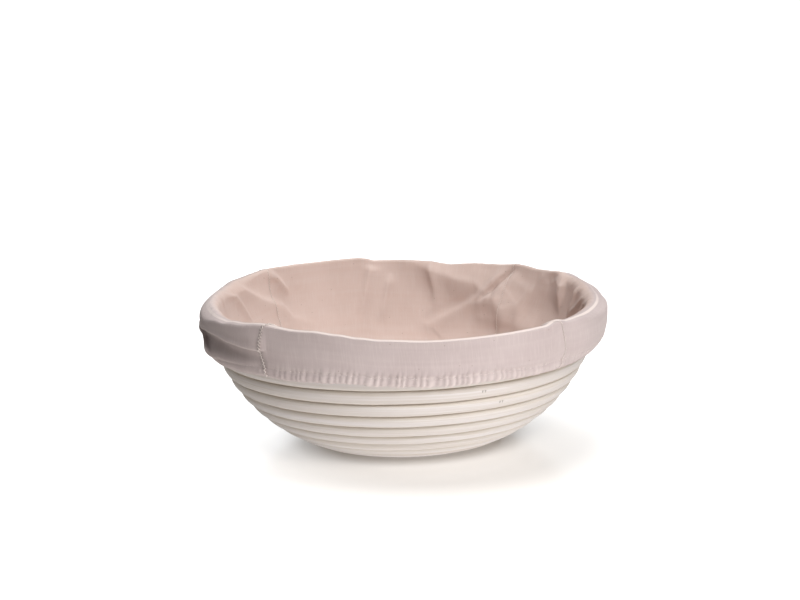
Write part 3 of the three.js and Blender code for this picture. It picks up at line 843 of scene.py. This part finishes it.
    # Length of cloth run, and the way out of it
    steps = np.hypot(np.diff(s, axis=0), np.diff(v, axis=0))
    path = np.vstack([s[:1], s[:1] + np.cumsum(steps, axis=0)])
    way_s, way_v = np.gradient(s, axis=0), np.gradient(v, axis=0)
    size = np.hypot(way_s, way_v)
    normal_s, normal_v = way_v / size, -way_s / size

    # Creases, slack, sag and puckers inside. The cane behind stops the cloth
    beyond = path - path[crest.start + CREST_ROWS // 2][None, :]
    move = np.zeros(s.shape)
    run = np.minimum(path, path[crest.start][None, :])
    in_bowl = smoothstep(-2 * MM, -10 * MM, beyond)
    for line in CREASES:
        move += crease(azimuth, np.where(in_bowl > 0, s, 1), inside, *line) * in_bowl
    move += SLACK * in_bowl * slackness(run * np.cos(turned), run * np.sin(turned))
    sag_height = top - along_at(keyed(azimuth, SAG_EDGE), inside)
    sunk = (top - s) / np.maximum(sag_height, 1.5 * MM)
    fading = bell(np.maximum(sunk - 1, 0) * sag_height, 15 * MM)
    sagging = np.where(sunk < 1, sunk, fading)
    move += keyed(azimuth, SAG) * np.clip(sagging, 0, 1) * (v < 0)
    for middle, slant, reach, out_reach, rise, width in puckers:
        off = np.radians(around(azimuth, middle + slant * beyond / MM)) * CREST_RADIUS
        ends = smoothstep(-reach * MM, -2 * MM, beyond) * smoothstep(out_reach * MM, 0, beyond)
        move += rise * MM * bell(off, width * MM) * ends
    move = np.maximum(move, -DEEPEST)

    # Flap that hangs under the roll
    outer = smoothstep(3 * MM, 10 * MM, beyond)
    from_hem = s - hem
    flap = crease(azimuth, np.where(outer > 0, s, 1), outside, *FLAP)
    move[skirt] += (flap * outer)[skirt]

    # Painted highlights where light catches the cloth: puffs of the casing, lip, flap and crest of
    # the roll
    puffs = np.clip(puff / 0.55, 0, 1) * drawn * smoothstep(7.6, 5.6, over_hem) * (v > 0)
    lips = roll * bell(below - lip + 0.4 * MM, 0.7 * MM) * (v > 2 * MM)
    flaps = (flap / (FLAP_RISE * MM)) ** 4 * outer
    crests = swell(azimuth, -85, 22) * bell(beyond - 2 * MM, 4.5 * MM)
    painted_highlight = np.clip(puffs + 0.8 * lips + 0.8 * flaps + crests, 0, 1)

    # Folds that hang above the casing, and its stitched line
    for middle, reach, rise, width in hanging:
        off = np.radians(around(azimuth, middle)) * SKIRT_RADIUS
        ends = smoothstep(reach * MM, 0, from_hem) * smoothstep(2 * MM, 8 * MM, from_hem)
        move += rise * MM * bell(off, width * MM) * outer * ends
    stitched = bell(from_hem - CASING_HEIGHT, 0.7 * MM) * 0.5 * MM
    move[skirt] -= (stitched * (0.3 + 0.7 * drawn))[skirt]

    # Seams pull the two edges down into a valley
    edge = from_seam * section_at(s, v)[0]
    pulled = MM * (0.03 + 0.04 * outer) * bell(edge, 0.8 * MM)
    move -= pulled * smoothstep(0, 4 * MM, path)
    s, v = s + normal_s * move, v + normal_v * move
    r, z = section_at(s, v)
    points = np.stack([r * np.sin(turned), -r * np.cos(turned), z], axis=-1)
    return points, path, r, painted_highlight


def seam_azimuth(seam, row):
    """A seam wanders a little on its way from the centre to the hem."""
    crest, skirt = INSIDE_ROWS + CREST_ROWS / 2, INSIDE_ROWS + CREST_ROWS
    rows = (0, 0.6 * crest, crest, skirt, skirt + SKIRT_ROWS / 2, skirt + SKIRT_ROWS)
    return np.interp(row, rows, SEAMS[seam])


def gore_azimuths(first, second, columns):
    """Azimuth of every point of a gore, and how far round it is from the nearer seam."""
    rows = np.arange(ALL_ROWS)
    start, end = seam_azimuth(first, rows)[:, None], seam_azimuth(second, rows)[:, None]
    width = (end - start) % 360
    share = np.linspace(0, 1, columns + 1)[None, :]
    return start + width * share, np.radians(width) * np.minimum(share, 1 - share)


def cotton_material():
    """Unbleached plain weave: slubs along both threads, a few flecks of husk, a dry surface;
    painted shade on the part turned down outside, and painted highlights.
    """
    material, nodes, shader = new_material("unbleached_cotton")
    flat = nodes.node("ShaderNodeUVMap", {"uv_map": "cut"})
    warp = flat.stretched(1300, 90, 1).noise(2)
    weft = flat.stretched(40, 1300, 1).noise(2)
    bars = flat.stretched(6, 260, 1).noise(2)
    mottle = flat.stretched(28, 28, 1).noise(3)
    wide, long = flat.part("X"), flat.part("Y")
    over = (wide * (2 * math.pi / WARP_SPACING)).math("SINE")
    under = (long * (2 * math.pi / WEFT_SPACING)).math("SINE")
    weave = over * under
    cells = {"Vector": flat.stretched(130, 130, 1), "Scale": 1.0}
    husk = nodes.node("ShaderNodeTexVoronoi", {"voronoi_dimensions": "2D"}, cells, out="Distance")
    which = nodes.node("ShaderNodeTexVoronoi", {"voronoi_dimensions": "2D"}, cells, out="Color")
    chosen = which.part("X").between(0.86, 0.88)
    fleck = (1 - husk.between(0.02, 0.06)) * chosen
    # Painted shade: the cloth turned down outside the rim is greyer, cooler and darker than the
    # bowl
    turned_down = long.between(-2.5 * MM, 2 * MM)
    cloudy = mottle.between(0.3, 0.7)
    bowl_tone = cloudy.blended((0.590, 0.455, 0.405, 1), (0.640, 0.505, 0.455, 1))
    shaded_outside_tone = cloudy.blended((0.470, 0.390, 0.388, 1), (0.515, 0.434, 0.432, 1))
    ground = turned_down.blended(bowl_tone, shaded_outside_tone)
    barred = (bars.between(0.35, 0.7) * 0.12).blended(ground, (0.70, 0.63, 0.60, 1))
    slubbed = (warp.between(0.45, 0.7) * 0.17).blended(barred, (0.70, 0.63, 0.60, 1))
    crossed = (weft.between(0.55, 0.8) * 0.14).blended(slubbed, (0.46, 0.39, 0.36, 1))
    threaded = (weave.between(-1, 1) * 0.18).blended(crossed, (0.45, 0.375, 0.34, 1))
    # Painted highlight: a pale line along the crest, at the front only
    back = nodes.node("ShaderNodeTexCoord", out="Object").part("Y").between(-40 * MM, 40 * MM)
    crest = long.between(1.6 * MM, 2.2 * MM) * (1 - long.between(3.3 * MM, 3.9 * MM)) * (1 - back)
    crest_highlighted = (crest * 0.85).blended(threaded, (0.76, 0.67, 0.63, 1))
    # Painted highlights on the puffs of the casing, the lip, the flap and the roll's crest, as the
    # mesh marks them
    painted_highlight = nodes.node("ShaderNodeAttribute", {"attribute_name": "painted_highlight"}, out="Fac")
    highlighted = (painted_highlight * 0.75).blended(crest_highlighted, (0.66, 0.57, 0.55, 1))
    flecked = (fleck * 0.45).blended(highlighted, (0.20, 0.13, 0.09, 1))
    bump = (weave * 0.25 + warp * 0.5 + weft * 0.4).bumped(0.4, 0.25 * MM)
    plug(shader, Base_Color=flecked, Roughness=0.86 + mottle * 0.1, Normal=bump)
    plug(shader, Sheen_Weight=0.12, Sheen_Roughness=0.5, Specular_IOR_Level=0.25)
    return material


def sheet_mesh(name, points, flat_x, flat_y, painted_highlight, strides):
    """Cloth over rows of points; a row keeps one column in its stride, so that it thins inwards."""
    kept = [np.arange(0, points.shape[1], stride) for stride in strides]
    first = np.concatenate([[0], np.cumsum([len(k) for k in kept])])
    corners, flat, highlighted = (
        np.concatenate([grid[i, k] for i, k in enumerate(kept)])
        for grid in (points, np.stack([flat_x, flat_y], -1), painted_highlight)
    )
    faces = []
    for i in range(len(kept) - 1):
        here = first[i] + np.arange(len(kept[i]))
        there = first[i + 1] + np.arange(len(kept[i + 1]))
        if strides[i] == strides[i + 1]:
            faces += np.stack([here[:-1], there[:-1], there[1:], here[1:]], -1).tolist()
        else:
            faces += np.stack([here[:-1], there[:-2:2], there[1::2]], -1).tolist()
            faces += np.stack([here[:-1], there[1::2], here[1:]], -1).tolist()
            faces += np.stack([here[1:], there[1::2], there[2::2]], -1).tolist()
    mesh = bpy.data.meshes.new(name)
    mesh.from_pydata(corners.tolist(), [], faces)
    # Painted highlight of each point, for the cloth's colour
    pale = mesh.attributes.new("painted_highlight", "FLOAT", "POINT")
    pale.data.foreach_set("value", highlighted.astype(np.float32))
    layer = mesh.uv_layers.new(name="cut")
    loops = np.zeros(len(mesh.loops), dtype=np.int32)
    mesh.loops.foreach_get("vertex_index", loops)
    layer.data.foreach_set("uv", flat[loops].astype(np.float32).ravel())
    mesh.polygons.foreach_set("use_smooth", np.ones(len(mesh.polygons), dtype=bool))
    sides = np.zeros(len(mesh.loops), dtype=np.int32)
    mesh.loops.foreach_get("edge_index", sides)
    mesh.edges.foreach_set("use_edge_sharp", np.bincount(sides, minlength=len(mesh.edges)) == 1)
    mesh.update()
    return mesh


cotton = cotton_material()
strides = [min(stride for row, stride in STRIDES if row <= i) for i in range(ALL_ROWS)]
gore_points = {}
for side, (first_seam, second_seam, columns) in GORES.items():
    azimuth, from_seam = gore_azimuths(first_seam, second_seam, columns)
    points, path, radius, painted_highlight = liner_grid(azimuth, from_seam)
    gore_points[side] = points
    width = radius[:, columns // 2] * np.radians(azimuth[:, -1] - azimuth[:, 0])
    length = path[:, columns // 2]
    from_crest = path - path[INSIDE_ROWS + CREST_ROWS // 2]
    across = width[:, None] * np.linspace(-0.5, 0.5, columns + 1)[None, :]
    mesh = sheet_mesh(side + "_gore", points, across, from_crest, painted_highlight, strides)
    gore = placed(side + "_gore", mesh)
    mesh.materials.append(cotton)
    thickness = gore.modifiers.new("cloth", "SOLIDIFY")
    thickness.thickness = CLOTH
    thickness.offset = -1
    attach(gore, "liner")
    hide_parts(side + "_gore_bowl", side + "_gore_turn_down")
    cut_area = float(np.sum(np.diff(length) * (width[1:] + width[:-1]) / 2))


# Elastic: a flat knitted band joined into a ring, drawn through the hem's casing before the last
# stitches close it. It lies loose in the casing and pulls the hem in under the rim.
ELASTIC_WIDTH = 4.2 * MM
ELASTIC_THICKNESS = 0.4 * MM
ELASTIC_RIBS = 0.7 * MM
ELASTIC_TILT = math.radians(110)
ELASTIC_ABOVE_FOLD = 0.3 * MM
RING_POINTS = 480


def elastic_material():
    """Knitted elastic: white ribs along the band, crossed by its fine loops."""
    material, nodes, shader = new_material("knitted_elastic")
    place = nodes.node("ShaderNodeTexCoord", out="Object")
    rib = (place.part("Z") * (2 * math.pi / ELASTIC_RIBS)).math("SINE")
    loop = place.stretched(1400, 1400, 500).noise(2)
    white = rib.between(-1, 1) * 0.5 + loop * 0.4
    colour = white.blended((0.66, 0.64, 0.60, 1), (0.86, 0.85, 0.82, 1))
    bump = (rib * 0.6 + loop * 0.4).bumped(0.5, 0.2 * MM)
    plug(shader, Base_Color=colour, Roughness=0.7 + loop * 0.2, Normal=bump)
    return material


def elastic_tree():
    """A flat band along a closed line, tilted to lie on the wall."""
    inputs = dict.fromkeys(("Width", "Thickness", "Tilt"), "Float")
    tree, given = new_tree("elastic_band", inputs)
    nodes = Wire(tree)
    curve = nodes.node("GeometryNodeMeshToCurve", None, {"Mesh": given["Geometry"]})
    upright = nodes.node("GeometryNodeSetCurveNormal", {"mode": "Z_UP"}, {"Curve": curve})
    sizes = {"Width": given["Width"], "Height": given["Thickness"]}
    band = nodes.node("GeometryNodeCurvePrimitiveQuadrilateral", None, sizes)
    tilt = nodes.node("ShaderNodeCombineXYZ", None, {"Z": given["Tilt"]})
    tilted = nodes.node("GeometryNodeTransform", None, {"Geometry": band, "Rotation": tilt})
    swept = nodes.node("GeometryNodeCurveToMesh", None, {"Curve": upright, "Profile Curve": tilted})
    end_tree(swept, elastic_material())
    return tree


ring = np.linspace(0, 360, RING_POINTS, endpoint=False)
casing = along_at(keyed(ring, HEM_HEIGHTS), CASING_FACE) + HEM_FOLD
casing = casing + 0.5 * ELASTIC_WIDTH + ELASTIC_ABOVE_FOLD
ring_r, ring_z = section_at(casing, keyed(ring, HEM_OUT) - HEM_FOLD)
ring_x, ring_y = np.sin(np.radians(ring)), -np.cos(np.radians(ring))
ring_points = np.stack([ring_r * ring_x, ring_r * ring_y, ring_z], -1)
ring_out = np.stack([ring_x, ring_y, 0 * ring], -1)
line = line_mesh("elastic_line", ring_points, ring_out, closed=True)
sizes = {"Width": ELASTIC_WIDTH, "Thickness": ELASTIC_THICKNESS, "Tilt": ELASTIC_TILT}
elastic = grown("elastic_ring", elastic_tree(), sizes, line)
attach(elastic, "liner")
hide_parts("hem_elastic")


# Thread: cotton sewing thread, overlocked in a zigzag along the four seams, finer inside the bowl,
# and run through the hem in a straight row that closes the casing.
# Thread of each seam outside, and inside at most, in millimetres
SEAM_THREADS = {"front_left": 0.33, "front_right": 0.14, "back_right": 0.14, "back_left": 0.18}
INSIDE_THREAD = 0.13
SEAM_STITCH = 0.95 * MM
SEAM_REACH = 2.6
SEAM_CLEAR = 0.2 * MM
HEM_THREAD = 0.1 * MM
HEM_STITCH = 3.1 * MM
HEM_STITCH_LENGTH = 0.33
HEM_STITCH_ROW = 0.78
HEM_SINK = 0.08 * MM
HEM_POINTS = 1440


def thread_material():
    """Two-ply cotton thread, whiter than the cloth."""
    material, nodes, shader = new_material("cotton_thread")
    place = nodes.node("ShaderNodeTexCoord", out="Object")
    ply = place.stretched(2600, 2600, 2600).noise(2)
    colour = ply.between(0.35, 0.65).blended((0.65, 0.57, 0.53, 1), (0.84, 0.77, 0.73, 1))
    plug(shader, Base_Color=colour, Roughness=0.7 + ply * 0.2, Normal=ply.bumped(0.4, 0.08 * MM))
    return material


def sewing_tree(name, *sizes):
    """Start of a tree that sews: a line's points a stitch apart, and the ways ahead and out."""
    tree, given = new_tree(name, dict.fromkeys(("Stitch", "Lift", "Thread", *sizes), "Float"))
    nodes = Wire(tree)
    curve = nodes.node("GeometryNodeMeshToCurve", None, {"Mesh": given["Geometry"]})
    spacing = {"Curve": curve, "Length": given["Stitch"]}
    even = nodes.node("GeometryNodeResampleCurve", {"mode": "LENGTH"}, spacing)
    return tree, given, even, nodes.node("GeometryNodeInputTangent"), remembered(nodes, "way")


def scaled(vector, factor):
    settings = {"operation": "SCALE"}
    return vector.node("ShaderNodeVectorMath", settings, {0: vector, "Scale": factor})


def zigzag_tree():
    """Thread that steps from side to side of a line, just clear of the cloth."""
    tree, given, even, ahead, out = sewing_tree("zigzag", "Reach")
    nodes = Wire(tree)
    both = {0: ahead, 1: out}
    sideways = nodes.node("ShaderNodeVectorMath", {"operation": "CROSS_PRODUCT"}, both)
    step = nodes.node("GeometryNodeInputIndex").math("MODULO", 2) * 2 - 1
    share = remembered(nodes, "share", "FLOAT")
    aside = scaled(sideways, step * given["Reach"] * share)
    moves = {0: aside, 1: scaled(out, given["Lift"] * share)}
    offset = nodes.node("ShaderNodeVectorMath", {"operation": "ADD"}, moves)
    sewn = nodes.node("GeometryNodeSetPosition", None, {"Geometry": even, "Offset": offset})
    finer = nodes.node("GeometryNodeSetCurveRadius", None, {"Curve": sewn, "Radius": share})
    ply = {"Resolution": 6, "Radius": given["Thread"]}
    section = nodes.node("GeometryNodeCurvePrimitiveCircle", None, ply)
    swept = nodes.node("GeometryNodeCurveToMesh", None, {"Curve": finer, "Profile Curve": section})
    end_tree(swept, thread)
    return tree


def running_stitch_tree():
    """Short stitches one behind the other along a line."""
    tree, given, even, ahead, out = sewing_tree("running_stitch")
    nodes = Wire(tree)
    lifted = {"Geometry": even, "Offset": scaled(out, given["Lift"])}
    raised = nodes.node("GeometryNodeSetPosition", None, lifted)
    ball = {"Segments": 8, "Rings": 6, "Radius": given["Thread"]}
    bead = nodes.node("GeometryNodeMeshUVSphere", None, ball)
    along = nodes.node("FunctionNodeAlignRotationToVector", {"axis": "Z"}, {"Vector": ahead})
    long = {"X": 1, "Y": 1, "Z": given["Stitch"] / given["Thread"] * HEM_STITCH_LENGTH}
    stretched = nodes.node("ShaderNodeCombineXYZ", None, long)
    beads = {"Points": raised, "Instance": bead, "Rotation": along, "Scale": stretched}
    end_tree(nodes.node("GeometryNodeInstanceOnPoints", None, beads), thread)
    return tree


def outward(points):
    """Way out of the cloth at every point of a grid."""
    way = np.cross(np.gradient(points, axis=0), np.gradient(points, axis=1))
    return way / np.maximum(np.linalg.norm(way, axis=-1, keepdims=True), 1e-12)


thread = thread_material()
zigzag = zigzag_tree()
skirt_row = INSIDE_ROWS + CREST_ROWS
sewn_rows = np.arange(INSIDE_ROWS // 4, skirt_row + SKIRT_ROWS)
over_rim = smoothstep(INSIDE_ROWS + 0.4 * CREST_ROWS, INSIDE_ROWS + 0.7 * CREST_ROWS, sewn_rows)
for side, points in gore_points.items():
    seam_name = GORES[side][0]
    out = outward(points)
    line = line_mesh(seam_name + "_line", points[sewn_rows, 0], out[sewn_rows, 2])
    finest = min(1, INSIDE_THREAD / SEAM_THREADS[seam_name])
    share = line.attributes.new("share", "FLOAT", "POINT")
    share.data.foreach_set("value", (finest + (1 - finest) * over_rim).astype(np.float32))
    ply = SEAM_THREADS[seam_name] * MM
    reach, lift = SEAM_REACH * ply, SEAM_CLEAR + ply
    sizes = {"Stitch": SEAM_STITCH, "Reach": reach, "Lift": lift, "Thread": ply}
    seam = grown(seam_name + "_seam_thread", zigzag, sizes, line)
    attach(seam, "liner")

full_circle = np.tile(np.linspace(0, 360, HEM_POINTS + 1), (ALL_ROWS, 1))
points = liner_grid(full_circle, np.ones(full_circle.shape))[0]
casing_row = skirt_row + int(SKIRT_ROWS * HEM_STITCH_ROW)
casing_line, casing_out = points[casing_row, :-1], outward(points)[casing_row, :-1]
line = line_mesh("hem_line", casing_line, casing_out, closed=True)
sizes = {"Stitch": HEM_STITCH, "Lift": -HEM_SINK, "Thread": HEM_THREAD}
hem_stitches = grown("hem_thread", running_stitch_tree(), sizes, line)
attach(hem_stitches, "liner")


# Floor, light and camera: a white glossy table in a white studio, with the main soft light at the
# front right and above, a low one at the right and one overhead.
TABLE_REACH = 6.0
# Painted glow of the table and its glowing patch: a spot, and the distances from it between which
# it changes
SHADE_UNDER = ((0, 6 * MM, 0), 56 * MM, 84 * MM)
SHADE_IN_FRONT = ((30 * MM, -45 * MM, 0), 60 * MM, 150 * MM)
LIGHT_IN_FRONT = ((50 * MM, -180 * MM, 0), 50 * MM, 320 * MM)
# Light the glowing patch gives back to the basket, and the painted glow the camera sees near the
# foot and beyond
TABLE_BOUNCE, TABLE_NEAR, TABLE_FAR = 0.98, 0.34, 0.46


def white_table():
    """White gloss with a painted glow, seen only by the camera, that brightens it away from the
    basket's foot over the shadow there, and a glowing patch that throws light up at the basket's
    front.
    """
    material, nodes, shader = new_material("white_table")
    plug(shader, Base_Color=(0.54, 0.515, 0.485, 1), Roughness=0.22, IOR=1.45)
    seen = nodes.node("ShaderNodeLightPath", out="Is Camera Ray")
    place = nodes.node("ShaderNodeTexCoord", out="Object")
    near, far, unlit = (
        nodes.node(
            "ShaderNodeVectorMath", {"operation": "DISTANCE"}, {0: place, 1: spot}, out="Value"
        ).between(start, end)
        for spot, start, end in (SHADE_UNDER, SHADE_IN_FRONT, LIGHT_IN_FRONT)
    )
    shown = seen * (near * TABLE_NEAR + far * TABLE_FAR)
    bounce = (1 - seen) * (1 - unlit) * TABLE_BOUNCE + shown
    glow = nodes.node("ShaderNodeEmission", None, {"Color": bounce, "Strength": 1})
    surface = Wire(nodes.tree, shader.outputs[0])
    both = nodes.node("ShaderNodeAddShader", None, {0: surface, 1: glow})
    nodes.tree.links.new(both.socket, nodes.tree.nodes["Material Output"].inputs["Surface"])
    return material


floor_mesh = bpy.data.meshes.new("table")
sides = ((-1, -1), (1, -1), (1, 1), (-1, 1))
floor_mesh.from_pydata([(x * TABLE_REACH, y * TABLE_REACH, 0) for x, y in sides], [], [range(4)])
floor_mesh.materials.append(white_table())
floor = placed("table", floor_mesh)

world = bpy.data.worlds.new("studio")
world.use_nodes = True
bpy.context.scene.world = world
sky = Wire(world.node_tree)
mirrored = sky.node("ShaderNodeLightPath", out="Is Glossy Ray")
shown = sky.node("ShaderNodeLightPath", out="Is Camera Ray").math("MAXIMUM", mirrored)
background = world.node_tree.nodes["Background"]
background.inputs["Color"].default_value = (0.96, 0.98, 1, 1)
world.node_tree.links.new((0.06 + shown * 0.94).socket, background.inputs["Strength"])


def soft_light(name, place, aim, size, power, colour):
    """A soft box that faces a spot."""
    lamp = bpy.data.lights.new(name, "AREA")
    lamp.shape = "RECTANGLE"
    lamp.size, lamp.size_y = size
    lamp.energy = power
    lamp.color = colour
    light = placed(name, lamp)
    light.location = place
    light.rotation_euler = (Vector(aim) - Vector(place)).to_track_quat("-Z", "Y").to_euler()


soft_light("main_softbox", (0.4, -1.0, 0.86), (0, 0, 0.05), (0.5, 0.5), 12.5, (1, 0.985, 0.97))
soft_light("side_softbox", (1.05, -0.2, 0.22), (0, 0, 0.06), (0.5, 0.25), 2.6, (1, 0.99, 0.98))
soft_light("top_softbox", (0, 0.05, 1.25), (0, 0, 0.05), (0.6, 0.6), 9.5, (1, 0.99, 0.98))

lens = bpy.data.cameras.new("camera")
lens.sensor_fit = "HORIZONTAL"
lens.sensor_width = 36
lens.lens = 93.43
lens.clip_start = 0.05
eye = Vector((0, -1265.3 * MM, 338.2 * MM))
aim = Vector((-1.45 * MM, 0, 86.6 * MM))
ahead = (aim - eye).normalized()
right = ahead.cross(Vector((0, 0, 1))).normalized()
upward = right.cross(ahead)
roll = -0.020
side_axis = right * math.cos(roll) + upward * math.sin(roll)
up_axis = upward * math.cos(roll) - right * math.sin(roll)
turned = Matrix((side_axis, up_axis, -ahead)).transposed().to_4x4()
camera = placed("camera", lens)
camera.matrix_world = Matrix.Translation(eye) @ turned
bpy.context.scene.camera = camera
bpy.context.scene.view_settings.view_transform = "Standard"
